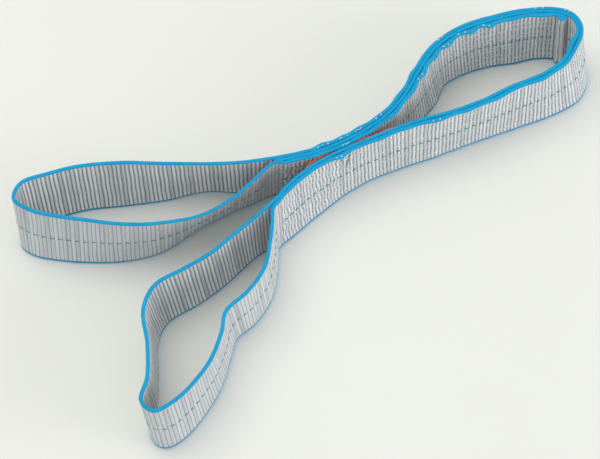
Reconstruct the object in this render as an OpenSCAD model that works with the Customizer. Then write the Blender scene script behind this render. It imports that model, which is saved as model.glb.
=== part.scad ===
// Flat web sling: one long strip of polyester webbing, laid double, with an eye at
// each end, folded in half and standing on edge as it lies on a table.
// X runs along the folded sling, Y across it, Z up; every ply stands on Z = 0.

/* [Webbing] */
// Width of the webbing, which is the height it stands at
web_w = 50; // [40:1:60]
// Thickness of one ply
ply_t = 2.5; // [2:0.1:3]
// Air between plies that are sewn together
ply_gap = 0.3; // [0.2:0.05:0.5]

/* [Lay] */
// Length of the folded sling from eye to fold, as it lies
lay_length = 440; // [370:1:530]
// Length of arm B from its throat to where it leaves the fold
arm_b_length = 180; // [120:1:200]
// Length of arm A from its throat to where it leaves the fold
arm_a_length = 152; // [120:1:160]
// Clear gap left in the webbing at each place that bends
bend_gap = 4.5; // [4:0.1:6]

/* [Lap] */
// Distance from throat A at which the middle ply ends
middle_ply_short = 33; // [30:1:60]
// Length over which the inner ply then closes up to the outer ply
close_up = 20; // [12:1:22]
// Length of the eye's legs that stay side by side next to a throat
throat_lead = 8; // [5:0.5:12]
// How far those legs have parted at the end of that length
throat_part = 1.6; // [1.2:0.1:2.5]
// Length of the lapped tail inside the fold
lap_length = 128; // [90:1:150]
// Length of the tail end that is turned under
turn_length = 9; // [6:0.5:14]

/* [Sewing] */
// Thickness of a thread row, standing off the webbing
thread_t = 0.7; // [0.5:0.1:1]
// Height of a thread row
thread_h = 1.2; // [0.8:0.1:2]
// Distance of the long rows from the edges of the webbing
row_inset = 7; // [5:0.5:12]
// Length of the sewn pack at each throat
pack_length = 62; // [40:1:90]
// Number of rows in a throat pack
pack_rows = 5; // [3:1:7]

/* [Marker yarn] */
// Height of the coloured yarn along the middle of the webbing
marker_h = 1.2; // [0.8:0.1:2]
// Thickness of that yarn
marker_t = 0.4; // [0.3:0.1:0.6]

/* [Label] */
// Length of the loose flap of the label
label_length = 52; // [40:1:64]
// Height of the label
label_h = 42; // [30:1:46]
// Thickness of the label
label_t = 0.8; // [0.5:0.1:1.2]
// Length of the sewn tab of the label
label_tab = 20; // [12:1:24]
// Distance of the sewn tab from throat B
label_start = 90; // [80:1:120]
// Gap between the tab and the flap, where the label bends
label_gap = 1; // [0.8:0.1:2]
// How far the flap's free end stands off arm B
label_stand = 5; // [3:0.5:7]
// How far its other end stands off arm B
label_lift = 1.3; // [1.1:0.1:1.6]

/* [Hidden] */

web_grey = "#9ba1a6";
thread_grey = "#b9bec2";
marker_teal = "#1f9aa8";
label_orange = "#e0622f";

plan = lay_length / 440;
pitch = ply_t + ply_gap;
lean_scale = web_w / 50;
face_gap = 0.25;
station_step = 6;
eye_step = 8;
spline_steps = 10;

// Middle of the points below, which is moved to the origin
lay_middle = [-1.2, -2];
// Plan of the outer face of the body, from throat B round the fold to throat A
body_points = [
    [-22, -5], [2, 19], [31, 41], [63, 58], [108, 77], [156, 98], [186, 111],
    [207, 128], [215, 150], [206, 168], [184, 174], [150, 171], [120, 162],
    [97, 146], [81, 122], [66, 99], [47, 78], [24, 61], [-2, 49], [-31, 42]
];
// Plan of the bottom edge of eye A and how far its top edge leans: x, y, lean x, lean y
eye_a_points = [
    [-52, 40, -1, -6], [-80, 41, -1, -8], [-110, 33, -2, 0], [-140, 28, -2, 6],
    [-170, 24, -3, 7], [-193, 16, -4, 8], [-210, 6, -5, 11], [-217, -8, -3, 10],
    [-207, -17, 0, 9], [-190, -21, 0, 8], [-168, -23, 1, 6], [-140, -22, 1, 1],
    [-112, -14, 1, -6], [-85, 7, 2, -19], [-61, 22, 2, -19], [-46, 29, 3, -11]
];
// The same for eye B, starting on the outer ply
eye_b_points = [
    [-28, -28, -4, -2], [-30, -56, -4, -3], [-41, -76, -5, -3], [-55, -90, -6, -5],
    [-61, -106, -5, -8], [-68, -132, -6, -5], [-80, -158, -6, 0], [-93, -174, -6, 3],
    [-105, -180, -6, 3], [-113, -171, -6, 3], [-112, -150, -4, 1], [-112, -120, -5, -2],
    [-113, -94, -8, -1], [-105, -75, -8, 2], [-85, -61, -7, 2], [-67, -46, -6, 0],
    [-53, -31, -5, 0], [-41, -18, -3, 0]
];

// Smooth curve through a list of points of any dimension
function held(p, i) = p[max(0, min(len(p) - 1, i))];
function curve_at(a, b, c, d, t) =
    0.5 * (2 * b + (c - a) * t + (2 * a - 5 * b + 4 * c - d) * t * t
        + (3 * b - a - 3 * c + d) * t * t * t);
function smooth(p) = [
    for (i = [0:len(p) - 2]) for (j = [0:spline_steps - 1])
        curve_at(held(p, i - 1), p[i], p[i + 1], held(p, i + 2), j / spline_steps),
    p[len(p) - 1]
];
function flat(p) = [p[0], p[1]];
function turned(v) = [-v[1], v[0]];
function unit(v) = v / norm(v);
function reversed(p) = [for (i = [len(p) - 1:-1:0]) p[i]];
// Distance along a curve at each of its points
function distances(p) = [
    for (i = 0, d = 0; i < len(p);
        d = d + (i + 1 < len(p) ? norm(flat(p[i + 1]) - flat(p[i])) : 0), i = i + 1) d
];
function table(p, k) = let (d = distances(p)) [for (i = [0:len(p) - 1]) [d[i], p[i][k]]];
function stations(s0, s1, step) =
    let (n = ceil((s1 - s0) / step)) [for (i = [0:n]) s0 + (s1 - s0) * i / n];

body_curve = smooth([for (p = body_points) (p - lay_middle) * plan]);
body_x = table(body_curve, 0);
body_y = table(body_curve, 1);
body_end = body_x[len(body_x) - 1][0];
function body_at(s) = [lookup(s, body_x), lookup(s, body_y)];
function body_along(s) = unit(body_at(min(s + 1, body_end)) - body_at(max(s - 1, 0)));
// A point at station s, moved from the outer face towards the inside of the fold
function inward(s, d) = body_at(s) + turned(body_along(s)) * d;
function depth(d, s) = is_num(d) ? d : lookup(s, d);

// Stations where the webbing bends
bend_b = arm_b_length * plan;
bend_a = body_end - arm_a_length * plan;
middle_end = body_end - middle_ply_short * plan;
// Depth of the face of the innermost ply of arm A, which closes up near the throat
inner_a = [
    [middle_end + 2, 2 * pitch],
    [middle_end + 2 + close_up * plan, pitch]
];
function deeper(d, more) = is_num(d) ? d + more : [for (q = d) [q[0], q[1] + more]];

// A standing strip between two stations, two depths and two heights
module strip(s0, s1, near, far, z0 = 0, z1 = web_w) {
    s = stations(s0, s1, station_step);
    outer = [for (q = s) inward(q, depth(near, q))];
    inner = [for (q = s) inward(q, depth(far, q))];
    translate([0, 0, z0])
        linear_extrude(z1 - z0)
            polygon(concat(outer, reversed(inner)));
}
module ply(s0, s1, near) {
    strip(s0, s1, near, deeper(near, ply_t));
}
// A low strip on the outer face of a stack, and one on its inner face
module on_outer(s0, s1, thick, z, h) {
    strip(s0, s1, -face_gap - thick, -face_gap, z - h / 2, z + h / 2);
}
module on_inner(s0, s1, face, thick, z, h) {
    near = deeper(face, face_gap);
    strip(s0, s1, near, deeper(near, thick), z - h / 2, z + h / 2);
}
module outer_marker(s0, s1) {
    on_outer(s0, s1, marker_t, web_w / 2, marker_h);
}
module inner_marker(s0, s1, face) {
    on_inner(s0, s1, face, marker_t, web_w / 2, marker_h);
}
module outer_rows(s0, s1) {
    for (z = [row_inset, web_w - row_inset])
        on_outer(s0, s1, thread_t, z, thread_h);
}
module inner_rows(s0, s1, face) {
    for (z = [row_inset, web_w - row_inset])
        on_inner(s0, s1, face, thread_t, z, thread_h);
}
// Rows between the long rows on both faces, clear of the marker yarn at mid height
module pack(s0, s1, face) {
    span = web_w - 2 * row_inset;
    clear = (marker_h + thread_h) / 2 + face_gap;
    for (i = [1:pack_rows]) {
        z = row_inset + span * i / (pack_rows + 1);
        shift = abs(z - web_w / 2) < clear ? clear : 0;
        on_outer(s0, s1, thread_t, z + shift, thread_h);
        on_inner(s0, s1, face, thread_t, z + shift, thread_h);
    }
}

arm_b_s0 = bend_gap / 2;
arm_b_s1 = bend_b - bend_gap / 2;
bight_s0 = bend_b + bend_gap / 2;
bight_s1 = bend_a - bend_gap / 2;
arm_a_s0 = bend_a + bend_gap / 2;
arm_a_s1 = body_end - bend_gap / 2;
lap_s0 = bight_s1 - lap_length * plan;
turn_s1 = lap_s0 + turn_length;
two_ply = pitch + ply_t;
three_ply = 2 * pitch + ply_t;
face_a = deeper(inner_a, ply_t);

module bight_outer_ply() color(web_grey) ply(bight_s0, bight_s1, 0);
module bight_inner_ply() color(web_grey) ply(bight_s0, bight_s1, pitch);
module bight_lap_ply() color(web_grey) ply(lap_s0, bight_s1, 2 * pitch);
// The tail end folded back on itself, against the inside of the lapped ply
module lap_end_turn() color(web_grey) ply(lap_s0, turn_s1, 3 * pitch);
module bight_marker_yarn() color(marker_teal) {
    outer_marker(bight_s0, bight_s1);
    inner_marker(bight_s0, lap_s0 - 1, two_ply);
    inner_marker(turn_s1 + 1, bight_s1, three_ply);
}
module bight_thread_rows() color(thread_grey) {
    outer_rows(bight_s0, bight_s1);
    inner_rows(bight_s0, lap_s0 - 1, two_ply);
    inner_rows(turn_s1 + 1, bight_s1, three_ply);
}
// Two upright rows that close the turned end
module lap_end_stitches() color(thread_grey)
    for (s = [lap_s0 + 1, turn_s1 - 1 - thread_h])
        upright_row(s, 3 * pitch + ply_t);
module upright_row(s, face) {
    near = face + face_gap;
    strip(s, s + thread_h, near, near + thread_t, row_inset, web_w - row_inset);
}

module arm_a_outer_ply() color(web_grey) ply(arm_a_s0, arm_a_s1, 0);
module arm_a_middle_ply() color(web_grey) ply(arm_a_s0, middle_end, pitch);
module arm_a_inner_ply() color(web_grey) ply(arm_a_s0, arm_a_s1, inner_a);
module arm_a_marker_yarn() color(marker_teal) {
    outer_marker(arm_a_s0, arm_a_s1);
    inner_marker(arm_a_s0, arm_a_s1, face_a);
}
module arm_a_thread_rows() color(thread_grey) {
    outer_rows(arm_a_s0, arm_a_s1);
    inner_rows(arm_a_s0, arm_a_s1, face_a);
}
module throat_a_stitch_pack() color(thread_grey) pack(arm_a_s1 - pack_length, arm_a_s1, face_a);

module arm_b_outer_ply() color(web_grey) ply(arm_b_s0, arm_b_s1, 0);
module arm_b_inner_ply() color(web_grey) ply(arm_b_s0, arm_b_s1, pitch);
// The yarn and the rows on the inner face stop either side of the label's tab
module arm_b_marker_yarn() color(marker_teal) {
    outer_marker(arm_b_s0, arm_b_s1);
    inner_marker(arm_b_s0, tab_s0 - 1, two_ply);
    inner_marker(tab_s1 + 1, arm_b_s1, two_ply);
}
module arm_b_thread_rows() color(thread_grey) {
    outer_rows(arm_b_s0, arm_b_s1);
    inner_rows(arm_b_s0, tab_s0 - 1, two_ply);
    inner_rows(tab_s1 + 1, arm_b_s1, two_ply);
}
module throat_b_stitch_pack() color(thread_grey) pack(arm_b_s0, arm_b_s0 + pack_length, two_ply);

// The label: a tab sewn flat on the inside of arm B, and a loose flap that bends at its edge
tab_s0 = label_start * plan;
tab_s1 = tab_s0 + label_tab;
tab_face = two_ply + face_gap;
label_z0 = (web_w - label_h) / 2;
flap_s1 = tab_s0 - label_gap;
flap_s0 = flap_s1 - label_length * plan;
flap_near = [[flap_s0, two_ply + label_stand], [flap_s1, two_ply + label_lift]];
module label_tab_sewn() color(label_orange)
    strip(tab_s0, tab_s1, tab_face, tab_face + label_t, label_z0, label_z0 + label_h);
module label_flap() color(label_orange)
    strip(flap_s0, flap_s1, flap_near, deeper(flap_near, label_t), label_z0, label_z0 + label_h);
module label_stitches() color(thread_grey)
    for (s = [tab_s0 + 2, tab_s1 - 2 - thread_h])
        upright_row(s, tab_face + label_t);

// A leaning strip swept along an eye; each ring runs up one face and down the other
module eye_strip(points, near, far, v0, v1, rows, skipped) {
    curve = smooth(points);
    tx = table(curve, 0);
    ty = table(curve, 1);
    lx = table(curve, 2);
    ly = table(curve, 3);
    end = tx[len(tx) - 1][0];
    s = stations(skipped, end - skipped, eye_step);
    function at(q) = [lookup(q, tx), lookup(q, ty)];
    function side(q) = turned(unit(at(min(q + 1, end)) - at(max(q - 1, 0))));
    function lean(q) = [lookup(q, lx), lookup(q, ly)];
    function height(q) = sqrt(web_w * web_w - lean(q) * lean(q));
    function vertex(q, d, v) =
        let (f = at(q) + lean(q) * v + side(q) * d) [f[0], f[1], height(q) * v];
    ring = 2 * (rows + 1);
    levels = [for (i = [0:rows]) v0 + (v1 - v0) * i / rows];
    vertices = [
        for (q = s) each concat(
            [for (v = levels) vertex(q, near, v)],
            [for (v = reversed(levels)) vertex(q, far, v)])
    ];
    sides = [
        for (k = [0:len(s) - 2], i = [0:ring - 1])
            let (a = k * ring + i, b = k * ring + (i + 1) % ring)
                each [[a, b, b + ring], [a, b + ring, a + ring]]
    ];
    last = (len(s) - 1) * ring;
    caps = [
        for (i = [0:rows - 1])
            let (quad = [i, i + 1, ring - 2 - i, ring - 1 - i])
                each [reversed(quad), [for (k = quad) last + k]]
    ];
    polyhedron(vertices, concat(sides, caps));
}
// Both ends of an eye meet the two plies of its arm, upright, across the bend gap
function scaled(points) = [
    for (p = points)
        let (foot = (flat(p) - lay_middle) * plan, lean = [p[2], p[3]] * lean_scale)
            concat(foot, lean)
];
function upright(p) = [p[0], p[1], 0, 0];
throat_a = body_at(body_end) + body_along(body_end) * bend_gap / 2;
throat_b = body_at(0) - body_along(0) * bend_gap / 2;
across_a = turned(body_along(body_end));
across_b = turned(body_along(0));
function eye_path(throat, along, across, points) =
    let (outer = throat + across * ply_t / 2,
        inner = throat + across * (pitch + ply_t / 2),
        lead = along * throat_lead)
    concat([upright(outer), upright(outer + lead - across * throat_part / 2)],
        scaled(points),
        [upright(inner + lead + across * throat_part / 2), upright(inner)]);
eye_a_path = eye_path(throat_a, body_along(body_end), across_a, eye_a_points);
eye_b_path = eye_path(throat_b, -body_along(0), across_b, eye_b_points);
module eye_ply(path) eye_strip(path, -ply_t / 2, ply_t / 2, 0, 1, 2, 0);
// The marker yarn shows on the outside of the eye, and starts where the legs have parted
module eye_marker(path) {
    near = ply_t / 2 + face_gap;
    half = marker_h / web_w / 2;
    skipped = 3 * throat_lead;
    eye_strip(path, -near - marker_t, -near, 0.5 - half, 0.5 + half, 1, skipped);
}
module eye_a_ply() color(web_grey) eye_ply(eye_a_path);
module eye_a_marker_yarn() color(marker_teal) eye_marker(eye_a_path);
module eye_b_ply() color(web_grey) eye_ply(eye_b_path);
module eye_b_marker_yarn() color(marker_teal) eye_marker(eye_b_path);

bight_outer_ply();
bight_inner_ply();
bight_lap_ply();
lap_end_turn();
bight_marker_yarn();
bight_thread_rows();
lap_end_stitches();
arm_a_outer_ply();
arm_a_middle_ply();
arm_a_inner_ply();
arm_a_marker_yarn();
arm_a_thread_rows();
throat_a_stitch_pack();
arm_b_outer_ply();
arm_b_inner_ply();
arm_b_marker_yarn();
arm_b_thread_rows();
throat_b_stitch_pack();
eye_a_ply();
eye_a_marker_yarn();
eye_b_ply();
eye_b_marker_yarn();
label_tab_sewn();
label_flap();
label_stitches();
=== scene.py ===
import math

import bpy
import numpy as np
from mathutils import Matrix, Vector


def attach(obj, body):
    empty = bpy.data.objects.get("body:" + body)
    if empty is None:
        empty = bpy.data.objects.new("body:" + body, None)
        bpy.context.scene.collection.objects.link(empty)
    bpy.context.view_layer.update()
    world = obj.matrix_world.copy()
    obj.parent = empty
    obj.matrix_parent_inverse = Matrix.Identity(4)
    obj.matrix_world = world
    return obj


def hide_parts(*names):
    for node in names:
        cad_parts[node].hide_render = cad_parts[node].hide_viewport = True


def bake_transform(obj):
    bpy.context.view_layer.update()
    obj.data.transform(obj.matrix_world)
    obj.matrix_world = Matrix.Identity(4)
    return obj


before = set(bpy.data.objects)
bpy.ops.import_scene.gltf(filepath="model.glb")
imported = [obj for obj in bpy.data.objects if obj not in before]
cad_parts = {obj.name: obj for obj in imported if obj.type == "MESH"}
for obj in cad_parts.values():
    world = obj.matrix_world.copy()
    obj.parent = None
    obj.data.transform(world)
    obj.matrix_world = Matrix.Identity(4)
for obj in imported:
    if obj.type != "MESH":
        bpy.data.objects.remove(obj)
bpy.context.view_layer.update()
bpy.ops.object.select_all(action="DESELECT")

# ---------------------------------------------------------------------------
# The camera: a long lens on a stand at the foot of the table, looking down at 57 degrees.
bpy.ops.object.camera_add(location=(-0.0068, -1.0156, 1.5763))
camera = bpy.context.object
camera.name = "table_camera"
camera.data.sensor_width = 36
camera.data.lens = 148.9
camera.data.clip_end = 20
aim = Vector((-0.0068, 0.008, 0)) - camera.location
camera.rotation_euler = aim.to_track_quat("-Z", "Y").to_euler()
bpy.context.scene.camera = camera

# ---------------------------------------------------------------------------
# The table top and the light: white laminate board with a faint warm tone, a wide soft box
# overhead, a low one to the right and a pale room.


def colour(code):
    """A colour written as an sRGB hex value, turned to linear."""
    parts = [int(code[k:k + 2], 16) / 255 for k in (1, 3, 5)]
    return [p / 12.92 if p <= 0.04045 else ((p + 0.055) / 1.055) ** 2.4 for p in parts] + [1]


def add(tree, kind, inputs=None, **settings):
    """One node with its settings, its values and its links."""
    made = tree.nodes.new(kind)
    for key, value in settings.items():
        setattr(made, key, value)
    for key, value in (inputs or {}).items():
        if isinstance(value, bpy.types.NodeSocket):
            tree.links.new(value, made.inputs[key])
        else:
            made.inputs[key].default_value = value
    return made


def material(name):
    """A new material and its shader, with no other nodes."""
    made = bpy.data.materials.new(name)
    made.use_nodes = True
    return made, made.node_tree, made.node_tree.nodes["Principled BSDF"]


# Pressed laminate: smooth, a little cloudy and only slightly glossy
laminate, tree, shader = material("white_laminate_board")
place = add(tree, "ShaderNodeTexCoord").outputs["Object"]
haze = add(tree, "ShaderNodeTexNoise", {"Vector": place, "Scale": 3.0, "Detail": 3.0})
tone = add(tree, "ShaderNodeMix", {"Factor": haze.outputs["Fac"], 6: colour("#e8e8e1"),
                                   7: colour("#f0f0ea")}, data_type="RGBA")
tree.links.new(tone.outputs[2], shader.inputs["Base Color"])
shader.inputs["Roughness"].default_value = 0.55
shader.inputs["Specular IOR Level"].default_value = 0.3

TABLE_DROP = 0.0006   # m, keeps the board just clear of the webbing's foot
bpy.ops.mesh.primitive_plane_add(size=6, location=(0, 0, -TABLE_DROP))
table_top = bpy.context.object
table_top.name = "table_top"
table_top.data.materials.append(laminate)

room = bpy.data.worlds.new("pale_room")
bpy.context.scene.world = room
room.use_nodes = True
room.node_tree.nodes["Background"].inputs["Color"].default_value = colour("#f4f7fa")
room.node_tree.nodes["Background"].inputs["Strength"].default_value = 0.745
bpy.context.scene.view_settings.view_transform = "Standard"


def soft_box(name, at, size, watts, tint="#ffffff"):
    """A square soft box that faces the middle of the table."""
    bpy.ops.object.light_add(type="AREA", location=at)
    lamp = bpy.context.object
    lamp.name = name
    lamp.data.shape = "SQUARE"
    lamp.data.size = size
    lamp.data.energy = watts
    lamp.data.color = colour(tint)[:3]
    lamp.rotation_euler = (-Vector(at)).to_track_quat("-Z", "Y").to_euler()


soft_box("soft_box_overhead", (-0.7, 0.45, 2.0), 1.6, 16.5, "#fffdf6")
soft_box("soft_box_right", (1.8, -0.6, 0.55), 0.9, 12)

# ---------------------------------------------------------------------------
# The webbing: 50 mm grey polyester sling webbing, woven with high cross ribs and a bright blue
# selvedge along each edge. One length is laid up in plies, all standing on their edges.
WEB_W = 50.0          # mm
RIB = 3.15            # one cross rib
RIB_COLUMNS = 6       # mesh columns in a rib
GROUND = 0.92         # half the thickness in the valleys
RIB_HIGH = 0.44       # how proud a rib stands
EDGE_R = 1.43         # half the thickness of the selvedge
EDGE_H = 2.3          # height of the blue at the foot
EDGE_TOP = 1.2        # and at the top edge, which lies softer
FACE_ROWS = 22        # mesh rows up a face
CAP_ROWS = 6          # and round an edge
PLY = 2.8             # pitch of the plies in the stack
HALF_PLY = 1.25       # from the body's outer face to the middle of the outer ply
WARP_END = 1.5        # spacing drawn for the warp ends: the real 0.8 is too fine to show
MM = 0.001

# High-tenacity polyester, woven grey, with warp ends across the ribs. Its colour holds a painted
# highlight on the crests and painted shade in the valleys between them, where the thread is also a
# little darker. The ribs are bolder on the back, the left side of each strip, which is inside the
# eyes and the fold, and so are their painted highlight and shade.
web, tree, shader = material("woven_polyester_webbing")
uv = add(tree, "ShaderNodeUVMap", uv_map="weave").outputs["UV"]
axes = add(tree, "ShaderNodeSeparateXYZ", {0: uv})
rib_turn = add(tree, "ShaderNodeMath", {0: axes.outputs[0], 1: math.pi / (RIB * MM)},
               operation="MULTIPLY")
rib_wave = add(tree, "ShaderNodeMath", {0: rib_turn.outputs[0]}, operation="SINE")
crest = add(tree, "ShaderNodeMath", {0: rib_wave.outputs[0]}, operation="ABSOLUTE")
end_turn = add(tree, "ShaderNodeMath", {0: axes.outputs[1], 1: math.pi / (WARP_END * MM)},
               operation="MULTIPLY")
end_shift = add(tree, "ShaderNodeMath", {0: rib_turn.outputs[0], 1: 0.5, 2: end_turn.outputs[0]},
                operation="MULTIPLY_ADD")
end_wave = add(tree, "ShaderNodeMath", {0: end_shift.outputs[0]}, operation="SINE")
ends = add(tree, "ShaderNodeMath", {0: end_wave.outputs[0]}, operation="ABSOLUTE")
grime = add(tree, "ShaderNodeTexNoise", {"Vector": uv, "Scale": 38.0, "Detail": 4.0})
lint = add(tree, "ShaderNodeTexNoise", {"Vector": uv, "Scale": 520.0, "Detail": 2.0})
# Painted light of a rib: 0 on a crest, which takes the painted highlight, 1 in a valley, which
# takes the painted shade
rib_valley_shade = add(tree, "ShaderNodeMapRange", {0: crest.outputs[0], 1: 0.0, 2: 0.85, 3: 1.0,
                                                4: 0.0})
# The right side has a finer line along each rib, which the sewing pulls out
pull = add(tree, "ShaderNodeAttribute", attribute_name="pull").outputs["Fac"]
free = add(tree, "ShaderNodeMapRange", {0: pull, 1: 0.0, 2: 0.4, 3: 1.0, 4: 0.0})
# The painted shade in the valleys is deeper where the sewing pulls
sewn_valley_shade_gain = add(tree, "ShaderNodeMapRange", {0: pull, 1: 0.0, 2: 0.4, 3: 0.8, 4: 1.15})
fine_wave = add(tree, "ShaderNodeMath", {0: rib_turn.outputs[0]}, operation="COSINE")
fine_crest = add(tree, "ShaderNodeMath", {0: fine_wave.outputs[0]}, operation="ABSOLUTE")
fine_line = add(tree, "ShaderNodeMapRange", {0: fine_crest.outputs[0], 1: 0.0, 2: 0.5, 3: 0.38,
                                             4: 0.0})
fine_free = add(tree, "ShaderNodeMath", {0: fine_line.outputs[0], 1: free.outputs[0]},
                operation="MULTIPLY")
face_valley_shade_and_line = add(tree, "ShaderNodeMath", {0: rib_valley_shade.outputs[0], 1: sewn_valley_shade_gain.outputs[0],
                                          2: fine_free.outputs[0]}, operation="MULTIPLY_ADD")
# Right face: painted highlight on the crests, painted shade in the valleys
face_highlight_and_shade = add(tree, "ShaderNodeMix", {"Factor": face_valley_shade_and_line.outputs[0], 6: colour("#eef1f3"),
                                        7: colour("#6f767c")}, data_type="RGBA")
# Back: a bolder painted highlight on the crests and painted shade in the valleys
back_highlight_and_shade = add(tree, "ShaderNodeMix", {"Factor": rib_valley_shade.outputs[0], 6: colour("#f8fafb"),
                                        7: colour("#565c62")}, data_type="RGBA")
is_back = add(tree, "ShaderNodeMath", {0: axes.outputs[1], 1: WEB_W * MM},
              operation="GREATER_THAN")
rib_highlight_and_shade = add(tree, "ShaderNodeMix", {"Factor": is_back.outputs[0], 6: face_highlight_and_shade.outputs[2],
                                       7: back_highlight_and_shade.outputs[2]}, data_type="RGBA")
end_range = add(tree, "ShaderNodeMapRange", {0: ends.outputs[0], 1: 0.0, 2: 0.6, 3: 0.30, 4: 0.0})
end_tone = add(tree, "ShaderNodeMix", {"Factor": end_range.outputs[0], 6: rib_highlight_and_shade.outputs[2],
                                       7: colour("#8d949a")}, data_type="RGBA")
# Ribs differ a little from one another, over their whole height
rib_scale = add(tree, "ShaderNodeMapping", {"Vector": uv, "Scale": (1 / (RIB * MM), 6.0, 1.0)})
rib_noise = add(tree, "ShaderNodeTexNoise", {"Vector": rib_scale.outputs[0], "Scale": 0.8,
                                             "Detail": 1.0})
rib_range = add(tree, "ShaderNodeMapRange", {0: rib_noise.outputs["Fac"], 1: 0.42, 2: 0.7, 3: 0.0,
                                             4: 0.5})
rib_own_tone = add(tree, "ShaderNodeMix", {"Factor": rib_range.outputs[0],
                                           6: end_tone.outputs[2], 7: colour("#8b9197")},
                   data_type="RGBA")
# Stray lint is paler and handling marks are darker
lint_range = add(tree, "ShaderNodeMapRange", {0: lint.outputs["Fac"], 1: 0.58, 2: 0.75, 3: 0.0,
                                              4: 0.45})
lint_tone = add(tree, "ShaderNodeMix", {"Factor": lint_range.outputs[0],
                                        6: rib_own_tone.outputs[2], 7: colour("#eceff1")},
                data_type="RGBA")
grime_range = add(tree, "ShaderNodeMapRange", {0: grime.outputs["Fac"], 1: 0.35, 2: 0.8, 3: 0.0,
                                               4: 0.28})
grime_tone = add(tree, "ShaderNodeMix", {"Factor": grime_range.outputs[0], 6: lint_tone.outputs[2],
                                         7: colour("#a0a6ab")}, data_type="RGBA")
# Painted shade: the bottoms of sharp creases are darkened in the colour
crease_shade_mask = add(tree, "ShaderNodeAttribute", attribute_name="crease_shade_mask").outputs["Fac"]
painted_crease_shade = add(tree, "ShaderNodeMix", {"Factor": crease_shade_mask, 6: grime_tone.outputs[2],
                                          7: colour("#33383d")}, data_type="RGBA")
tree.links.new(painted_crease_shade.outputs[2], shader.inputs["Base Color"])
high = add(tree, "ShaderNodeMath", {0: ends.outputs[0], 1: 0.7, 2: crest.outputs[0]},
           operation="MULTIPLY_ADD")
relief = add(tree, "ShaderNodeBump", {"Height": high.outputs[0], "Strength": 0.55,
                                      "Distance": 0.35 * MM})
tree.links.new(relief.outputs[0], shader.inputs["Normal"])
shader.inputs["Roughness"].default_value = 0.46
shader.inputs["Specular IOR Level"].default_value = 0.55
shader.inputs["Sheen Weight"].default_value = 0.18
shader.inputs["Sheen Roughness"].default_value = 0.4

# Dyed polyester, duller than the grey: its yarns turn round the edge as a fine cord with two
# twists to a rib.
selvedge, tree, shader = material("woven_selvedge_blue_polyester")
uv = add(tree, "ShaderNodeUVMap", uv_map="weave").outputs["UV"]
axes = add(tree, "ShaderNodeSeparateXYZ", {0: uv})
lay = add(tree, "ShaderNodeMath", {0: axes.outputs[1], 1: 0.8, 2: axes.outputs[0]},
          operation="MULTIPLY_ADD")
twist_turn = add(tree, "ShaderNodeMath", {0: lay.outputs[0], 1: math.pi / (RIB / 2 * MM)},
                 operation="MULTIPLY")
twist = add(tree, "ShaderNodeMath", {0: twist_turn.outputs[0]}, operation="SINE")
twist_high = add(tree, "ShaderNodeMath", {0: twist.outputs[0]}, operation="ABSOLUTE")
fade = add(tree, "ShaderNodeTexNoise", {"Vector": uv, "Scale": 90.0, "Detail": 3.0})
blue = add(tree, "ShaderNodeMix", {"Factor": fade.outputs["Fac"], 6: colour("#0092c6"),
                                   7: colour("#00acdc")}, data_type="RGBA")
groove = add(tree, "ShaderNodeMapRange", {0: twist_high.outputs[0], 1: 0.0, 2: 0.5, 3: 0.35,
                                          4: 0.0})
cord_blue = add(tree, "ShaderNodeMix", {"Factor": groove.outputs[0], 6: blue.outputs[2],
                                        7: colour("#02789c")}, data_type="RGBA")
tree.links.new(cord_blue.outputs[2], shader.inputs["Base Color"])
relief = add(tree, "ShaderNodeBump", {"Height": twist_high.outputs[0], "Strength": 0.5,
                                      "Distance": 0.25 * MM})
tree.links.new(relief.outputs[0], shader.inputs["Normal"])
shader.inputs["Roughness"].default_value = 0.55
shader.inputs["Specular IOR Level"].default_value = 0.22

# Plan in mm of the outer face of the body at mid height, from throat B round the fold to throat A.
BODY = [(-22, -5), (2, 19), (31, 41), (63, 58), (108, 77), (156, 98), (186, 111), (207, 128),
        (215, 150), (206, 168), (184, 174), (150, 171), (120, 162), (97, 146), (81, 122),
        (66, 99), (47, 78), (24, 61), (-2, 49), (-31, 42)]
MIDDLE = np.array((-1.2, -2))     # middle of the whole sling in that plan
# How far the top of the stack leans past its foot: station along the body, x, y.
LEANS = [(0, -2, 7), (15, -4, 9), (30, -4, 9), (45, -4, 8), (65, -2, 4), (90, -3, 0),
         (115, -2, 1), (138, -1, 1), (155, -1, -1), (180, 0, -1), (205, 0, 3), (225, -1, 4),
         (240, -4, 4), (255, -7, 5), (270, -10, 7), (285, -9, 8), (305, -4, 7), (325, -1, 6),
         (342, -1, 6), (360, -2, 8), (378, -4, 5), (400, -5, 3), (430, -6, -1), (450, -10, -1),
         (480, -5, -3), (520, 1, -4), (580, 1, -5), (601, 0, -5)]
# Where the real stack lies off the plain curve: station, distance towards the inside of the fold.
SHIFTS = [(0, 0), (15, 0.8), (30, 1.2), (50, 1.4), (70, 1.4), (100, 1.2), (125, 1), (145, 0.2),
          (180, 0), (205, 1), (235, 1.8), (262, 1.8), (284, 1.6), (302, -1.2), (322, -4.2),
          (342, -3.6), (360, -1.5), (380, -0.5), (405, 0), (432, 0.5), (450, 2.2), (480, 2.8),
          (505, 2.4), (525, 1.2), (550, 0.5), (580, 0.6), (601, 0.8)]


STEPS = 10            # points of a smooth curve for each given point


def smooth_curve(points, steps=STEPS):
    """A smooth curve through points of any dimension."""
    p = np.array(points, float)
    p = np.vstack([p[:1], p, p[-1:]])
    t = (np.arange(steps) / steps)[:, None]
    rows = []
    for k in range(1, len(p) - 2):
        a, b, c, d = p[k - 1], p[k], p[k + 1], p[k + 2]
        rows.append(0.5 * (2 * b + (c - a) * t + (2 * a - 5 * b + 4 * c - d) * t ** 2
                           + (3 * b - a - 3 * c + d) * t ** 3))
    return np.vstack(rows + [p[-2:-1]])


def distance_along(points):
    """Distance in plan from the first point to each point."""
    return np.concatenate([[0], np.cumsum(np.hypot(*np.diff(points[:, :2], axis=0).T))])


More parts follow.
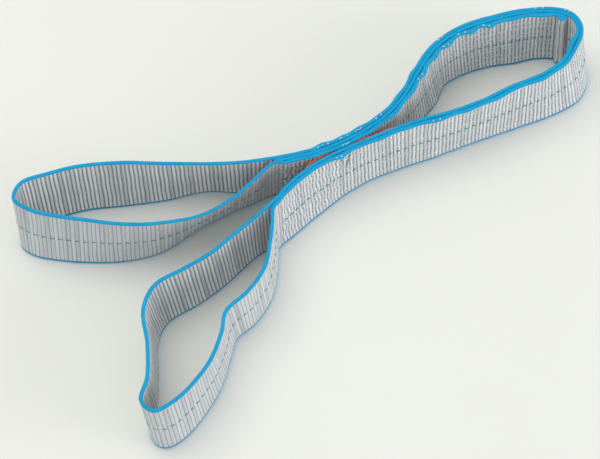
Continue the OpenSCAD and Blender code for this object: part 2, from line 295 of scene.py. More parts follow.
body_curve = smooth_curve(BODY) - MIDDLE
body_s = distance_along(body_curve)
BODY_END = body_s[-1]
lean_table = smooth_curve(LEANS, 6)
shift_table = smooth_curve(SHIFTS, 6)


def body_at(s):
    """Place in plan of a station of the body."""
    return np.stack([np.interp(s, body_s, body_curve[:, k]) for k in (0, 1)], -1)


def body_along(s):
    """Direction of the body at a station."""
    step = body_at(np.minimum(s + 1, BODY_END)) - body_at(np.maximum(s - 1, 0))
    return step / np.linalg.norm(step, axis=-1, keepdims=True)


def turned(v):
    """The direction to the left of v."""
    return np.stack([-v[..., 1], v[..., 0]], -1)


def laid(s, depth):
    """Middle line of a ply: place at mid height, lean and station, for each station."""
    s = np.atleast_1d(np.asarray(s, float))
    depth = depth + np.interp(s, shift_table[:, 0], shift_table[:, 1])
    at = body_at(s) + turned(body_along(s)) * depth[:, None]
    lean = np.stack([np.interp(s, lean_table[:, 0], lean_table[:, k]) for k in (1, 2)], -1)
    return np.column_stack([at, lean, s])


def stations(a, b, step=2.0):
    """Even stations from a to b, about one step apart."""
    return np.linspace(a, b, int(round(abs(b - a) / step)) + 1)


def ripple(u, v, seed, wave_u, wave_v):
    """A smooth uneven surface between -1 and 1, the same on every run."""
    draw = np.random.default_rng(seed)
    total = 0
    for k in range(5):
        fu = draw.uniform(0.5, 1.6)
        fv = draw.uniform(-1.4, 1.4)
        phase = draw.uniform(0, 2 * math.pi)
        total = total + np.sin(2 * math.pi * (fu * u / wave_u + fv * v / wave_v) + phase)
    return total / 3.2


def step_up(x):
    """A soft step from 0 to 1 between x = 0 and x = 1."""
    x = np.clip(x, 0, 1)
    return x * x * (3 - 2 * x)


# Heights of the sewn rows, and where rows of stitches push the top edge of a ply sideways:
# station, half length and amount.
ROWS = [7.0, 18.5, 31.5, 43.0]
BULGES_OUT = [(62, 7, 2.3), (98, 7, 0.7), (120, 6, 0.5), (142, 9, 1.6), (168, 6, 0.8),
              (195, 8, 1.3), (232, 9, 1.0), (262, 7, 0.6)]
BULGES_IN = [(272, 5, 1.0), (338, 7, 1.6), (362, 6, 1.2), (380, 5, 2.9), (397, 5, 3.0),
             (421, 6, 2.8), (438, 6, 2.4), (456, 6, 1.8), (474, 6, 1.2), (500, 7, 1.1),
             (524, 6, 1.0), (548, 7, 0.8), (570, 6, 0.6)]
BUMPS_A = [(462, 6, 0.8), (486, 6, 0.8), (512, 8, 0.6), (530, 7, 1.3), (545, 5, 1.0),
           (561, 6, 1.5)]
# Sharp creases in arm B's outer ply where the arms touch: station and height of both ends, depth
CREASES = [(71, 49, 66.5, 27, 1.7), (62.5, 47, 66, 31, 0.8)]
PACK = 62.0           # length of the sewn pack at each throat
CREASE_WIDE = 0.8


def bulge(s, places):
    """How far the top edge is pushed out at a station."""
    return sum(amount * np.exp(-((s - at) / half) ** 2) for at, half, amount in places)


def creased(s, z):
    """How far the face is pressed in along the creases."""
    total = 0
    for s0, z0, s1, z1, deep in CREASES:
        t = np.clip(((s - s0) * (s1 - s0) + (z - z0) * (z1 - z0))
                    / ((s1 - s0) ** 2 + (z1 - z0) ** 2), 0, 1)
        away = np.hypot(s - s0 - t * (s1 - s0), z - z0 - t * (z1 - z0))
        total = total + deep * (1 - t) ** 0.5 * np.exp(-(away / CREASE_WIDE) ** 2)
    return total


def sewn(s):
    """How hard the sewing pulls at a station: none in the eyes, most in the throat packs."""
    body = step_up((s + 1) / 4) * step_up((BODY_END + 1 - s) / 4)
    pack = np.maximum(step_up((PACK + 6 - s) / 12), step_up((s - BODY_END + PACK + 6) / 12))
    return body * (0.42 + 0.58 * pack)


def rolled_grid(name, co, u, v):
    """A strip made by rolling a grid round its section and laying it along its line.

    co[column, row] is a place in metres. u of each column and v of each row, in mm, are the
    place in the pattern of the weave."""
    columns, rows = co.shape[:2]
    bpy.ops.object.select_all(action="DESELECT")
    bpy.ops.mesh.primitive_grid_add(x_subdivisions=columns - 1, y_subdivisions=rows - 1, size=1)
    strip = bpy.context.object
    strip.name = strip.data.name = name
    mesh = strip.data
    # The grid's points run along each row, from the first column to the last
    mesh.vertices.foreach_set("co", co.transpose(1, 0, 2).ravel())
    corner = np.empty(len(mesh.loops), int)
    mesh.loops.foreach_get("vertex_index", corner)
    weave = mesh.uv_layers[0]
    weave.name = "weave"
    flat = np.column_stack([u[corner % columns] * MM, v[corner // columns] * MM])
    weave.data.foreach_set("uv", flat.ravel())
    mesh.materials.clear()
    return strip


def close_strip(strip, angle=50):
    """Joins the seam of the rolled grid, closes its two ends and turns its faces outwards."""
    strip.data.update()
    bpy.ops.object.select_all(action="DESELECT")
    strip.select_set(True)
    bpy.context.view_layer.objects.active = strip
    bpy.ops.object.mode_set(mode="EDIT")
    bpy.ops.mesh.select_all(action="SELECT")
    bpy.ops.mesh.remove_doubles(threshold=1e-6)
    bpy.ops.mesh.fill_holes(sides=0)
    bpy.ops.mesh.select_all(action="SELECT")
    bpy.ops.mesh.normals_make_consistent(inside=False)
    bpy.ops.object.mode_set(mode="OBJECT")
    bpy.ops.object.shade_smooth_by_angle(angle=math.radians(angle))


def resample(line, step_count):
    """The line at even distances, with its sideways direction."""
    along = distance_along(line)
    u = np.linspace(0, along[-1], step_count + 1)
    row = np.column_stack([np.interp(u, along, line[:, k]) for k in range(line.shape[1])])
    here = np.gradient(row[:, :2], axis=0)
    side = turned(here / np.linalg.norm(here, axis=1, keepdims=True))
    return u, row, side


def lay_points(row, side, tangent_shift, offset, height):
    """Places in metres from offsets across the ply and heights, on the leaning line."""
    lean = row[:, None, 2:4]
    up = np.sqrt(WEB_W ** 2 - (lean ** 2).sum(-1)) / WEB_W
    plan = row[:, None, :2] + lean * (height / WEB_W - 0.5)[..., None] \
        + side[:, None, :] * offset[..., None]
    along = np.column_stack([side[:, 1], -side[:, 0]])
    plan = plan + along[:, None, :] * tangent_shift[..., None]
    return np.dstack([plan, height * up]) * MM


def closed(ring):
    """The ring with its first value again at its end."""
    return np.append(ring, ring[0])


# The section of the webbing: up the left face, over the top edge, down the right face and under
# the foot. SECTION_V goes on round the web, so the back has it above the web's width.
ROW_GAP = 0.75        # from the selvedge to the first row of the face
face_z = np.concatenate([[EDGE_H], np.linspace(EDGE_H + ROW_GAP, WEB_W - EDGE_TOP - ROW_GAP,
                                               FACE_ROWS - 2), [WEB_W - EDGE_TOP]])
cap = np.linspace(0, math.pi, CAP_ROWS + 2)[1:-1]
cap_x = np.sign(np.cos(cap)) * np.abs(np.cos(cap)) ** 0.8
cap_z = np.sin(cap) ** 0.5
ON_FACE, ON_CAP = np.ones(FACE_ROWS), np.zeros(CAP_ROWS)
SECTION_X = closed(np.concatenate([ON_FACE, cap_x, -ON_FACE, -cap_x]))
SECTION_Z = closed(np.concatenate([face_z, WEB_W - EDGE_TOP * (1 - cap_z), face_z[::-1],
                                   EDGE_H * (1 - cap_z)]))
SECTION_FACE = closed(np.concatenate([ON_FACE, ON_CAP, ON_FACE, ON_CAP]))
SECTION_V = np.concatenate([2 * WEB_W - face_z, WEB_W + EDGE_TOP * (1 - cap_z) * np.sign(cap_x),
                            face_z[::-1], -np.arange(1.0, CAP_ROWS + 2) / 2])


def ribbed(U, Z, left, pulled, seed):
    """How far the cross ribs stand up: less on the stitched rows and unevenly in the sewn parts."""
    high = RIB_HIGH * (0.88 + 0.24 * left) * (1 + 0.2 * ripple(U, Z + 90 * left, seed, 9, 7))
    zig = 1.5 * np.sign(np.sin(2 * math.pi * U / (2 * RIB)))
    dent = sum(np.exp(-((Z - z - zig) / 1.1) ** 2) for z in ROWS)
    high = high * (1 - 0.62 * pulled * np.clip(dent, 0, 1))
    high = high * (1 - 0.75 * pulled * step_up(0.5 + ripple(U, Z + 70 * left, seed + 2, 5, 6.5)))
    return high + 0.16 * pulled * ripple(U, Z + 60 * left, seed + 3, 4.2, 5.5)


def drawn_along(U, Z, S, pulled, seed):
    """How far the sewing draws the ribs out of line, along the strip."""
    wander = 1.5 * ripple(S, 0 * S, seed + 7, 26, 1)
    rows_pull = 0.55 * np.sin(2 * math.pi * Z / 12.5 + wander)
    shift = pulled ** 1.6 * (rows_pull + 0.35 * ripple(U, Z, seed + 8, 30, 14))
    return shift + 0.16 * ripple(U, Z, seed + 9, 40, 30)


webbing_lines = {}


def webbing(name, line, seed, out=1.0, bulges=()):
    """One strip of webbing along a line of places in plan, leans and stations, all in mm.

    out is +1 where the bulges push to its left and -1 where they push to its right."""
    line = np.asarray(line, float)
    length = distance_along(line)[-1]
    u, row, side = resample(line, int(round(length / RIB)) * RIB_COLUMNS)
    columns, rows = len(u), len(SECTION_X)
    U = np.repeat(u[:, None], rows, 1)
    Z = np.repeat(SECTION_Z[None, :], columns, 0)
    S = np.repeat(row[:, 4:5], rows, 1)
    left = np.sign(SECTION_X)[None, :]
    pulled = sewn(S)
    # The ribs fade into the selvedges
    ridge = np.abs(np.sin(math.pi * np.arange(columns) / RIB_COLUMNS))[:, None] ** 0.75
    inner = step_up((Z - EDGE_H) / 1.6) * step_up((WEB_W - EDGE_TOP - Z) / 1.6)
    high = ribbed(U, Z, left, pulled, seed)
    half = np.where(SECTION_FACE[None, :] > 0,
                    GROUND + (EDGE_R - GROUND) * (1 - inner) + inner * ridge * high,
                    np.abs(SECTION_X)[None, :] * EDGE_R)
    offset = left * half
    # Slow waves of the whole ply
    offset = offset + 0.22 * pulled * ripple(S, Z, seed + 5, 24, 60)
    pressed = np.zeros_like(Z)
    if bulges:
        # The ply leans out a little at a bulge, and its edge crumples and thickens on that side
        thick = np.clip(0.5 + 0.5 * SECTION_X * out, 0, 1)[None, :] * step_up((Z - 43) / 5)
        offset = offset + out * bulge(S, bulges) * (0.35 * step_up((Z - 26) / 24) + 0.65 * thick) \
            * step_up((S + 1) / 4) * step_up((BODY_END + 1 - S) / 4)
    if bulges and out < 0:
        # Creases press into the right face only
        pressed = creased(S, Z) * (left == out)
        offset = offset + pressed
    fade_ends = step_up(U / 4) * step_up((u[-1] - U) / 4)
    shift = drawn_along(U, Z, S, pulled, seed) * fade_ends * inner
    Z = Z + step_up((Z - 20) / 30) * (0.28 * pulled * ripple(S, 0 * S, seed + 11, 20, 1))

    strip = rolled_grid(name, lay_points(row, side, shift, offset, Z),
                        np.arange(columns) * RIB / RIB_COLUMNS, SECTION_V)
    mesh = strip.data
    corner = np.empty(len(mesh.loops), int)
    mesh.loops.foreach_get("vertex_index", corner)
    low = (corner.reshape(-1, 4) // columns).min(1)
    in_edge = (SECTION_FACE[low] == 0) | (SECTION_FACE[np.minimum(low + 1, rows - 1)] == 0)
    mesh.materials.append(web)
    mesh.materials.append(selvedge)
    # The second mask sets where painted shade darkens the bottoms of the creases
    for key, value in (("pull", pulled), ("crease_shade_mask", np.clip(1.3 * pressed - 0.25, 0, 1))):
        layer = mesh.attributes.new(key, "FLOAT", "POINT")
        layer.data.foreach_set("value", value.T.ravel().astype(np.float32))
    mesh.polygons.foreach_set("material_index", in_edge.astype(np.int32))
    close_strip(strip)
    webbing_lines[name] = (line, length)
    return strip


# Stations where the strips are divided, where the arms bend away from the fold, and where the
# middle ply of arm A stops
CUT_B, CUT_A, CUT_EYE = 220.0, 409.0, 30.0
ARM_A_LONG = 152.0
MIDDLE_END = BODY_END - 4.0


def bend_zone(s_from, s_to):
    """The first and last point, at mid height, of a bend zone between two stations."""
    a, b = body_at(np.array([s_from, s_to])) * MM
    return {"start": (a[0], a[1], WEB_W / 2 * MM), "end": (b[0], b[1], WEB_W / 2 * MM)}


def bend(piece):
    """Bakes the piece's placement into its mesh."""
    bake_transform(piece)


# ---------------------------------------------------------------------------
# The folded body: two plies of the webbing laid together, from throat B round the fold to throat
# A, and sewn right through. Each ply is divided where the arms bend away from the fold.
OUTER, INNER, THIRD = HALF_PLY, PLY + HALF_PLY, 2 * PLY + HALF_PLY

arm_b_outer = webbing("arm_b_outer_ply_web", laid(stations(CUT_EYE, CUT_B), OUTER), 11, -1,
                      BULGES_OUT)
arm_b_inner = webbing("arm_b_inner_ply_web", laid(stations(CUT_EYE, CUT_B), INNER), 12)
bight_outer = webbing("bight_outer_ply_web", laid(stations(CUT_B, CUT_A), OUTER), 13, -1,
                      BULGES_OUT)
bight_inner = webbing("bight_inner_ply_web", laid(stations(CUT_B, CUT_A), INNER), 14, 1,
                      [(283, 9, 2.2)])
arm_a_outer = webbing("arm_a_outer_ply_web", laid(stations(CUT_A, BODY_END - CUT_EYE), OUTER), 15,
                      -1, BUMPS_A)
arm_a_middle = webbing("arm_a_middle_ply_web", laid(stations(CUT_A, MIDDLE_END), INNER), 16)
for strip in (arm_b_outer, arm_b_inner):
    bend(strip)
for strip in (arm_a_outer, arm_a_middle):
    bend(strip)
for strip in (bight_outer, bight_inner):
    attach(strip, "bight")
for strip in (arm_b_outer, arm_b_inner, bight_outer, bight_inner, arm_a_outer, arm_a_middle):
    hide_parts(strip.name.removesuffix("_web"))

# ---------------------------------------------------------------------------
# The lapped ply: the tail of the webbing comes back along arm A inside the other two and ends in
# the fold, turned under on itself and sewn shut.
LAP_LONG = 128.0
BEND_GAP = 4.5        # clear length at the arm's bend
TURN_R = 1.55         # radius of the turn, at the middle of the ply
TURN_LONG = 7.0       # length turned under
CLOSE_UP = 14.0       # length over which it closes up, from just before the middle ply's end
CLOSED_GAP = 0.8      # what is left of the middle ply's room there


def third_depth(s):
    """The lapped ply closes up on the outer one at the end of the middle ply."""
    return THIRD - (PLY - CLOSED_GAP) * step_up((s - MIDDLE_END + 3) / CLOSE_UP)


s = stations(CUT_A, BODY_END - CUT_EYE)
arm_a_inner = webbing("arm_a_inner_ply_web", laid(s, third_depth(s)), 17, 1, BULGES_IN)
bend(arm_a_inner)
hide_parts("arm_a_inner_ply")

LAP_S0 = BODY_END - ARM_A_LONG - BEND_GAP / 2 - LAP_LONG
lap = laid(stations(CUT_A, LAP_S0 + TURN_R), THIRD)
turn = [laid(LAP_S0 + TURN_R - TURN_R * math.sin(a), THIRD + TURN_R * (1 - math.cos(a)))[0]
        for a in np.linspace(0, math.pi, 9)[1:]]
tail = laid(stations(LAP_S0 + TURN_R + 1, LAP_S0 + TURN_LONG, 1), THIRD + 2 * TURN_R)
bight_lap = webbing("bight_lap_ply_web", np.vstack([lap, turn, tail]), 18, -1, BULGES_IN)
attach(bight_lap, "bight")
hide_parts("bight_lap_ply", "lap_end_turn")

# ---------------------------------------------------------------------------
# The two eyes: each is one ply of the same webbing, from the outer ply of its arm round to the
# inner one, held only by the sewing at its throat. Points of the strip's foot in mm, with how far
# its top leans past them: x, y, lean x, lean y.
EYE_A = [(-52, 40, -1, -6), (-80, 41, -1, -8), (-110, 33, -2, 0), (-140, 28, -2, 6),
         (-170, 24, -3, 7), (-193, 16, -4, 8), (-210, 6, -5, 11), (-217, -8, -3, 10),
         (-207, -17, 0, 9), (-190, -21, 0, 8), (-168, -23, 1, 6), (-140, -22, 1, 1),
         (-112, -14, 1, -6), (-85, 7, 2, -19), (-61, 22, 2, -19), (-46, 29, 3, -11)]
EYE_B = [(-25, -12, -3, 5), (-25.5, -22, -3, 1), (-26, -34, -4, -3), (-30, -56, -4, -3),
         (-41, -76, -5, -3), (-55, -90, -6, -5), (-59.5, -106, -5, -8), (-66.2, -132, -6, -5),
         (-80, -158, -6, 0), (-93, -174, -6, 3), (-105, -180, -6, 3), (-114, -171, -6, 3),
         (-112, -150, -4, 1), (-112, -120, -5, -2), (-113, -94, -8, -1), (-105, -75, -8, 2),
         (-85, -61, -7, 2), (-67, -46, -6, 0), (-53, -31, -5, 0), (-41, -18, -3, 0)]
FREE = -60.0          # station number given to cloth that isn't sewn


def eye_line(points, ends, depth):
    """From a station in the arm, through the throat, round the eye and back up the inner ply,
    which lies at the given depth. Eye B's is used backwards, so that its right is its outside."""
    p = np.array(points, float)
    middle = p[:, :2] - MIDDLE + p[:, 2:] / 2
    loop = np.column_stack([middle, p[:, 2:], np.full(len(p), FREE)])
    ends = np.array(ends, float)
    go = laid(ends, OUTER)
    back = laid(ends, depth)[::-1]
    line = smooth_curve(np.vstack([go, loop, back]))
    # Cloth past the throat counts as free straight away
    count = STEPS * (len(ends) - 1)
    line[count + 1:len(line) - count - 1, 4] = FREE
    return line


ends_a = BODY_END - np.array([30, 20, 10, 1.0])
eye_a = webbing("eye_a_ply_web", eye_line(EYE_A, ends_a, third_depth(ends_a)), 19)
eye_b = webbing("eye_b_ply_web", eye_line(EYE_B, [30, 20, 10, 1], INNER)[::-1], 20)


# Ends of a bend zone at a throat: 3 mm before its hinge and 20 mm past it, in m
HINGE_BACK, HINGE_ON = -0.003, 0.020


def throat_zone(hinge, along):
    """The first and last point of the bend at a throat, along the direction into its eye."""
    a, b = (np.array(hinge) + np.array(along) * k for k in (HINGE_BACK, HINGE_ON))
    return {"start": (a[0], a[1], WEB_W / 2 * MM), "end": (b[0], b[1], WEB_W / 2 * MM)}


EYE_A_BEND = ("arm_a", "eye_a", throat_zone((-0.0292, 0.0414), (-0.975, -0.221)))
EYE_B_BEND = ("arm_b", "eye_b", throat_zone((-0.0227, -0.0011), (-0.699, -0.715)))
bend(eye_a)
bend(eye_b)
for strip in (eye_a, eye_b):
    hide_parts(strip.name.removesuffix("_web"))

# ---------------------------------------------------------------------------
# Marker yarn: one dark teal yarn woven along the middle of the webbing. It shows as a float on
# every second rib, outside the eyes and on both outsides of the body.
DASH_PITCH = 2 * RIB
DASH_LONG = 3.6       # length, width and height of a float
DASH_WIDE = 0.95
DASH_HIGH = 0.55

# Spun polyester, matt and faded by handling
yarn, tree, shader = material("marker_yarn_teal_polyester")
place = add(tree, "ShaderNodeTexCoord").outputs["Object"]
wear = add(tree, "ShaderNodeTexNoise", {"Vector": place, "Scale": 900.0, "Detail": 2.0})
teal = add(tree, "ShaderNodeMix", {"Factor": wear.outputs["Fac"], 6: colour("#1b7f9c"),
                                   7: colour("#4aa3b8")}, data_type="RGBA")
tree.links.new(teal.outputs[2], shader.inputs["Base Color"])
relief = add(tree, "ShaderNodeBump", {"Height": wear.outputs["Fac"], "Strength": 0.3,
                                      "Distance": 0.1 * MM})
tree.links.new(relief.outputs[0], shader.inputs["Normal"])
shader.inputs["Roughness"].default_value = 0.6


def grain_of_thread():
    """One short length of thread, rounded at both ends, 1 long, lying along x."""
    bpy.ops.object.select_all(action="DESELECT")
    bpy.ops.mesh.primitive_uv_sphere_add(segments=8, ring_count=6, radius=0.5,
                                         rotation=(0, math.pi / 2, 0))
    bead = bpy.context.object
    bpy.ops.object.transform_apply(location=False, rotation=True, scale=True)
    co = np.array([v.co for v in bead.data.vertices])
    faces = [tuple(f.vertices) for f in bead.data.polygons]
    bpy.data.objects.remove(bead, do_unlink=True)
    co[:, 0] = np.sign(co[:, 0]) * np.sqrt(np.abs(co[:, 0]) / 2)
    return co, faces


GRAIN_CO, GRAIN_FACES = grain_of_thread()


def threads(name, lengths, finish):
    """Many short lengths of thread as one piece: each has its start, end, width and height in
    metres, and the direction that it stands up in."""
    co, faces = [], []
    for start, end, wide, high, normal in lengths:
        run = end - start
        long = np.linalg.norm(run)
        x = run / long
        y = np.cross(normal, x)
        y /= np.linalg.norm(y)
        z = np.cross(x, y)
        base = len(co) * len(GRAIN_CO)
        co.append((start + end) / 2 + GRAIN_CO[:, :1] * long * x + GRAIN_CO[:, 1:2] * wide * y
                  + GRAIN_CO[:, 2:3] * high * z)
        faces += [tuple(base + k for k in f) for f in GRAIN_FACES]
    mesh = bpy.data.meshes.new(name)
    mesh.from_pydata(np.vstack(co).tolist(), [], faces)
    mesh.materials.append(finish)
    piece = bpy.data.objects.new(name, mesh)
    bpy.context.collection.objects.link(piece)
    bpy.ops.object.select_all(action="DESELECT")
    piece.select_set(True)
    bpy.context.view_layer.objects.active = piece
    bpy.ops.object.mode_set(mode="EDIT")
    bpy.ops.mesh.select_all(action="SELECT")
    bpy.ops.mesh.normals_make_consistent(inside=False)
    bpy.ops.object.mode_set(mode="OBJECT")
    bpy.ops.object.shade_smooth()
    return piece


def on_strip(line, u, z, off, bulges=(), out=1.0):
    """A place on a strip: distance along its line, height and offset to its left, in mm."""
    along = distance_along(line)
    row = np.array([np.interp(u, along, line[:, k]) for k in range(5)])
    ahead = np.array([np.interp(u + 0.5, along, line[:, k]) for k in (0, 1)])
    behind = np.array([np.interp(u - 0.5, along, line[:, k]) for k in (0, 1)])
    t = (ahead - behind) / np.linalg.norm(ahead - behind)
    side = np.array([-t[1], t[0]])
    if bulges:
        off = off + out * bulge(row[4], bulges) * (0.35 * step_up((z - 26) / 24)
                                                   + 0.65 * step_up((z - 43) / 5))
    lean = row[2:4]
    up = math.sqrt(WEB_W ** 2 - lean @ lean) / WEB_W
    plan = row[:2] + lean * (z / WEB_W - 0.5) + side * off
    return np.array([plan[0], plan[1], z * up]) * MM, np.array([side[0], side[1], 0])


CREST = GROUND + RIB_HIGH * 0.9


def marker(name, line, face, skip=0):
    """Floats of the marker yarn along the middle of a strip, on its left (+1) or right (-1)."""
    total = distance_along(line)[-1]
    lengths = []
    u = skip + DASH_PITCH * 0.5
    while u < total - skip - DASH_LONG / 2:
        z = WEB_W / 2 + 0.25 * math.sin(len(lengths) * 1.7)
        a, n = on_strip(line, u - DASH_LONG / 2, z, face * CREST)
        b, n = on_strip(line, u + DASH_LONG / 2, z, face * CREST)
        lengths.append((a, b, DASH_WIDE * MM, DASH_HIGH * MM, n))
        u += DASH_PITCH
    piece = threads(name, lengths, yarn)
    return piece


s_a = stations(CUT_A, BODY_END - 2)
line_b_out = laid(stations(2, CUT_B), OUTER)
line_fold_out = laid(stations(CUT_B, CUT_A), OUTER)
line_fold_in = laid(stations(CUT_B, LAP_S0 - 1), INNER)
line_lap_in = laid(stations(LAP_S0 + TURN_LONG + 2, CUT_A), THIRD)
line_a_out = laid(s_a, OUTER)
line_a_in = laid(s_a, third_depth(s_a))
TAB_S0, TAB_S1 = 90.0, 110.0      # the label's tab covers arm B between these
beside_tab = [laid(stations(2, TAB_S0 - 1), INNER), laid(stations(TAB_S1 + 1, CUT_B), INNER)]

pieces = [marker("arm_b_marker_outer", line_b_out, -1),
          marker("arm_b_marker_inner_a", beside_tab[0], 1),
          marker("arm_b_marker_inner_b", beside_tab[1], 1)]
for piece in pieces:
    bend(piece)
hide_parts("arm_b_marker_yarn")
pieces = [marker("arm_a_marker_outer", line_a_out, -1),
          marker("arm_a_marker_inner", line_a_in, 1)]
for piece in pieces:
    bend(piece)
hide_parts("arm_a_marker_yarn")
pieces = [marker("bight_marker_outer", line_fold_out, -1),
          marker("bight_marker_inner", line_fold_in, 1),
          marker("bight_marker_lap", line_lap_in, 1)]
for piece in pieces:
    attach(piece, "bight")
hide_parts("bight_marker_yarn")
for strip, zone in ((eye_a, EYE_A_BEND), (eye_b, EYE_B_BEND)):
    eye = strip.name.removesuffix("_ply_web")
    piece = marker(eye + "_marker_yarn_floats", webbing_lines[strip.name][0], -1, CUT_EYE + 3)
    bend(piece)
    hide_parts(eye + "_marker_yarn")

# ---------------------------------------------------------------------------
# Sewing: pale grey bonded polyester thread, zigzag rows at four heights right through the plies,
# a row of short stitches under each selvedge, and close packs of rows at the two throats.
THREAD = 0.62         # width of the thread
UNDER_EDGE = 2.1      # middle of the stitches under a selvedge, from the edge
EDGE_RISE, EDGE_WIDE, EDGE_HIGH = 0.55, 1.25, 0.6   # half length, width and height of each
OVER_EDGE = 0.1       # how far the bunched thread stands over the top edge
OVER_WIDE = 0.42
PACK_ROWS = [12.5, 22.0, 28.5, 37.5]

# Bonded thread is smooth and slightly glossy, and its twist shows as fine pale flecks
sewing, tree, shader = material("bonded_polyester_thread_pale_grey")
place = add(tree, "ShaderNodeTexCoord").outputs["Object"]
ply_noise = add(tree, "ShaderNodeTexNoise", {"Vector": place, "Scale": 700.0, "Detail": 2.0})
pale = add(tree, "ShaderNodeMix", {"Factor": ply_noise.outputs["Fac"], 6: colour("#cdd3d7"),
                                   7: colour("#f1f4f5")}, data_type="RGBA")
tree.links.new(pale.outputs[2], shader.inputs["Base Color"])
relief = add(tree, "ShaderNodeBump", {"Height": ply_noise.outputs["Fac"], "Strength": 0.4,
                                      "Distance": 0.1 * MM})
tree.links.new(relief.outputs[0], shader.inputs["Normal"])
shader.inputs["Roughness"].default_value = 0.45
shader.inputs["Sheen Weight"].default_value = 0.15


def zigzag(line, z, face, u0, u1, rise, bulges=(), out=1.0):
    """Stitches that climb and fall across the ribs, one for each rib, a few of them sunk."""
    found = []
    k, u = 0, u0
    draw = np.random.default_rng(int(10 * z + 7 * u0) + 5)
    while u < u1 - RIB:
        up = (rise if k % 2 else -rise) * draw.uniform(0.6, 1.2)
        wander = draw.uniform(-0.5, 0.5)
        if draw.uniform() < 0.2:
            k, u = k + 1, u + RIB
            continue
        a, n = on_strip(line, u, z - up + wander, face * (CREST - 0.12), bulges, out)
        b, n = on_strip(line, u + RIB * 0.92, z + up + wander, face * (CREST - 0.12), bulges, out)
        found.append((a, b, THREAD * MM, THREAD * 0.8 * MM, n))
        k += 1
        u += RIB
    return found


def long_rows(line, face, bulges=(), out=1.0, pack=None):
    """All the rows on one face of a stack, with the pack of rows if it has one."""
    total = distance_along(line)[-1]
    found = []
    for z in ROWS:
        found += zigzag(line, z, face, 1, total, 1.5, bulges, out)
    for z in (UNDER_EDGE + 0.5, WEB_W - UNDER_EDGE):
        u = RIB / 2
        while u < total - 1:
            a, n = on_strip(line, u, z - EDGE_RISE, face * (CREST - 0.2), bulges, out)
            b, n = on_strip(line, u, z + EDGE_RISE, face * (CREST - 0.2), bulges, out)
            found.append((a, b, EDGE_WIDE * MM, EDGE_HIGH * MM, n))
            u += RIB
    if pack:
        for z in PACK_ROWS:
            found += zigzag(line, z, face, pack[0], pack[1], 1.1, bulges, out)
    return found


def over_the_top(line, stations_on, wide, bulges=(), out=1.0):
    """Bunches of thread carried over the top edge where a row starts or ends."""
    found = []
    draw = np.random.default_rng(41)
    for at in stations_on:
        for k in range(4):
            u = at - line[0, 4] + draw.uniform(-4, 4)
            top = WEB_W + OVER_EDGE
            a, n = on_strip(line, u, top, -wide + draw.uniform(0, 0.6), bulges, out)
            b, n = on_strip(line, u + draw.uniform(-2, 2), top, wide - draw.uniform(0, 0.6),
                            bulges, out)
            found.append((a, b, OVER_WIDE * MM, OVER_WIDE * MM, np.array([0, 0, 1.0])))
    return found


def upright(line, u, z0, z1, off, step=2.6):
    """A row of stitches from foot to top of a strip."""
    found = []
    for z in np.arange(z0, z1 - step, step):
        a, n = on_strip(line, u, z, off)
        b, n = on_strip(line, u + 0.4, z + step * 0.86, off)
        found.append((a, b, THREAD * MM, THREAD * 0.8 * MM, n))
    return found


def sewn_piece(name, lengths, nodes):
    """The stitches as one piece, in place of the CAD nodes named."""
    piece = threads(name, lengths, sewing)
    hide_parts(*nodes)
    return piece


piece = sewn_piece("arm_b_sewing", long_rows(line_b_out, -1, BULGES_OUT, -1, (1, PACK))
                   + long_rows(beside_tab[0], 1, pack=(1, PACK)) + long_rows(beside_tab[1], 1)
                   + upright(line_b_out, TAB_S1 - 6, 3, 47, -CREST)
                   + upright(line_b_out, TAB_S1 - 3, 3, 47, -CREST)
                   + over_the_top(line_b_out, [60, 142], 1.0, BULGES_OUT, -1),
                   ["arm_b_thread_rows", "throat_b_stitch_pack"])
bend(piece)
total = distance_along(line_a_out)[-1]
piece = sewn_piece("arm_a_sewing", long_rows(line_a_out, -1, pack=(total - PACK, total))
                   + long_rows(line_a_in, 1, BULGES_IN, 1, (1, total))
                   + over_the_top(line_a_out, [421, 510, 530, 545, 561], 1.1)
                   + over_the_top(line_a_in, [421, 456, 545], 1.1, BULGES_IN, 1),
                   ["arm_a_thread_rows", "throat_a_stitch_pack"])
bend(piece)
piece = sewn_piece("bight_sewing", long_rows(line_fold_out, -1, BULGES_OUT, -1)
                   + long_rows(line_fold_in, 1)
                   + long_rows(line_lap_in, 1, BULGES_IN, 1,
                               (1, distance_along(line_lap_in)[-1]))
                   + upright(line_fold_out, 2, 3, 47, -CREST)
                   + over_the_top(line_fold_out, [316, 338], 1.0)
                   + over_the_top(line_lap_in, [381, 401], 1.1, BULGES_IN, 1),
                   ["bight_thread_rows"])
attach(piece, "bight")

# Two upright rows shut the turned end
tail_line = laid(stations(LAP_S0 + 1, LAP_S0 + TURN_LONG, 1), THIRD + 2 * TURN_R)
found = upright(tail_line, 1.2, 4, 46, CREST) + upright(tail_line, TURN_LONG - 2, 4, 46, CREST)
piece = sewn_piece("lap_end_sewing", found, ["lap_end_stitches"])
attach(piece, "bight")

# ---------------------------------------------------------------------------
# The label: an orange strip of coated cloth, blank, its tab sewn flat to the inside of arm B and
# its long flap loose between the arms.
LABEL_H, LABEL_T = 42.0, 0.8
LABEL_FOOT = 6.6      # height of its lower edge over the table
FLAP_END = 37.0       # station of its loose end
LABEL_ROWS = 15

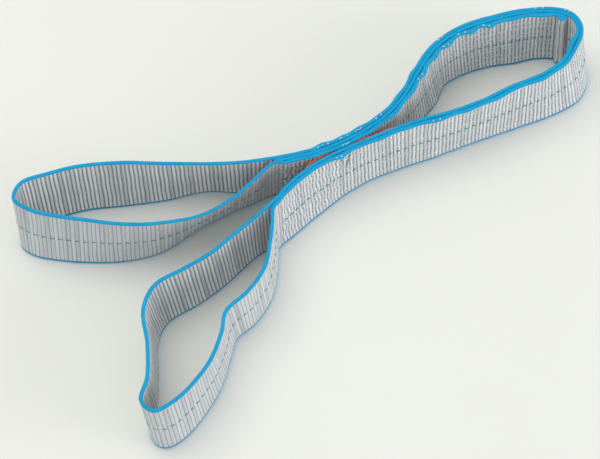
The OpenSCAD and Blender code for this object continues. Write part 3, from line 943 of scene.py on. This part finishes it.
# Coated cloth has a smooth, slightly glossy skin with faint scuffs
coated, tree, shader = material("coated_label_cloth_orange")
uv = add(tree, "ShaderNodeUVMap", uv_map="weave").outputs["UV"]
fine = add(tree, "ShaderNodeTexNoise", {"Vector": uv, "Scale": 260.0, "Detail": 3.0})
scuff = add(tree, "ShaderNodeTexNoise", {"Vector": uv, "Scale": 45.0, "Detail": 4.0})
orange = add(tree, "ShaderNodeMix", {"Factor": scuff.outputs["Fac"], 6: colour("#f75a18"),
                                     7: colour("#ff8038")}, data_type="RGBA")
tree.links.new(orange.outputs[2], shader.inputs["Base Color"])
relief = add(tree, "ShaderNodeBump", {"Height": fine.outputs["Fac"], "Strength": 0.25,
                                      "Distance": 0.15 * MM})
tree.links.new(relief.outputs[0], shader.inputs["Normal"])
shader.inputs["Roughness"].default_value = 0.42
shader.inputs["Coat Weight"].default_value = 0.15


def label_strip(name, line, low, high):
    """A thin strip with rounded edges and slightly rounded corners at its free end."""
    u, row, side = resample(np.asarray(line, float), int(distance_along(line)[-1]))
    rows_up = np.concatenate([[low + 0.25], np.linspace(low + 1.5, high - 1.5, LABEL_ROWS - 2),
                              [high - 0.25]])
    half = np.full(LABEL_ROWS, LABEL_T / 2)
    ring_x = closed(np.concatenate([half, [0], -half, [0]]))
    ring_z = closed(np.concatenate([rows_up, [high], rows_up[::-1], [low]]))
    columns, rows = len(u), len(ring_x)
    U, Z = np.repeat(u[:, None], rows, 1), np.repeat(ring_z[None, :], columns, 0)
    middle = (low + high) / 2
    corner = np.clip(1 - (u[-1] - U) / 4, 0, 1)
    Z = middle + (Z - middle) * (1 - 0.16 * corner ** 3)
    curl = 0.5 * ripple(U, Z, 31, 40, 55) * step_up(U / 30)
    offset = np.repeat(ring_x[None, :], columns, 0) + curl
    strip = rolled_grid(name, lay_points(row, side, 0 * Z, offset, Z), u, ring_z)
    strip.data.materials.append(coated)
    close_strip(strip)
    return strip


# The flap stands further off arm B towards its loose end
s = stations(TAB_S1, FLAP_END, 1)
flap_off = np.interp(s, [FLAP_END, TAB_S0 - 1, TAB_S0 + 2], [2.4, 1.1, 0.55])
label_line = laid(s, 2 * PLY - 0.3 + flap_off + LABEL_T / 2)
label = label_strip("label_strip", label_line, LABEL_FOOT, LABEL_FOOT + LABEL_H)
zone = bend_zone(TAB_S0 + 5, TAB_S0 - 6)
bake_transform(label)
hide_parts("label_tab_sewn", "label_flap")

tab_line = laid(stations(TAB_S0, TAB_S1, 1), 2 * PLY + 0.55 + LABEL_T / 2)
on_tab = LABEL_T / 2 + 0.15
found = upright(tab_line, 4, 6, 46, on_tab) \
    + upright(tab_line, TAB_S1 - TAB_S0 - 3, 6, 46, on_tab)
piece = sewn_piece("label_sewing", found, ["label_stitches"])
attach(piece, "arm_b")
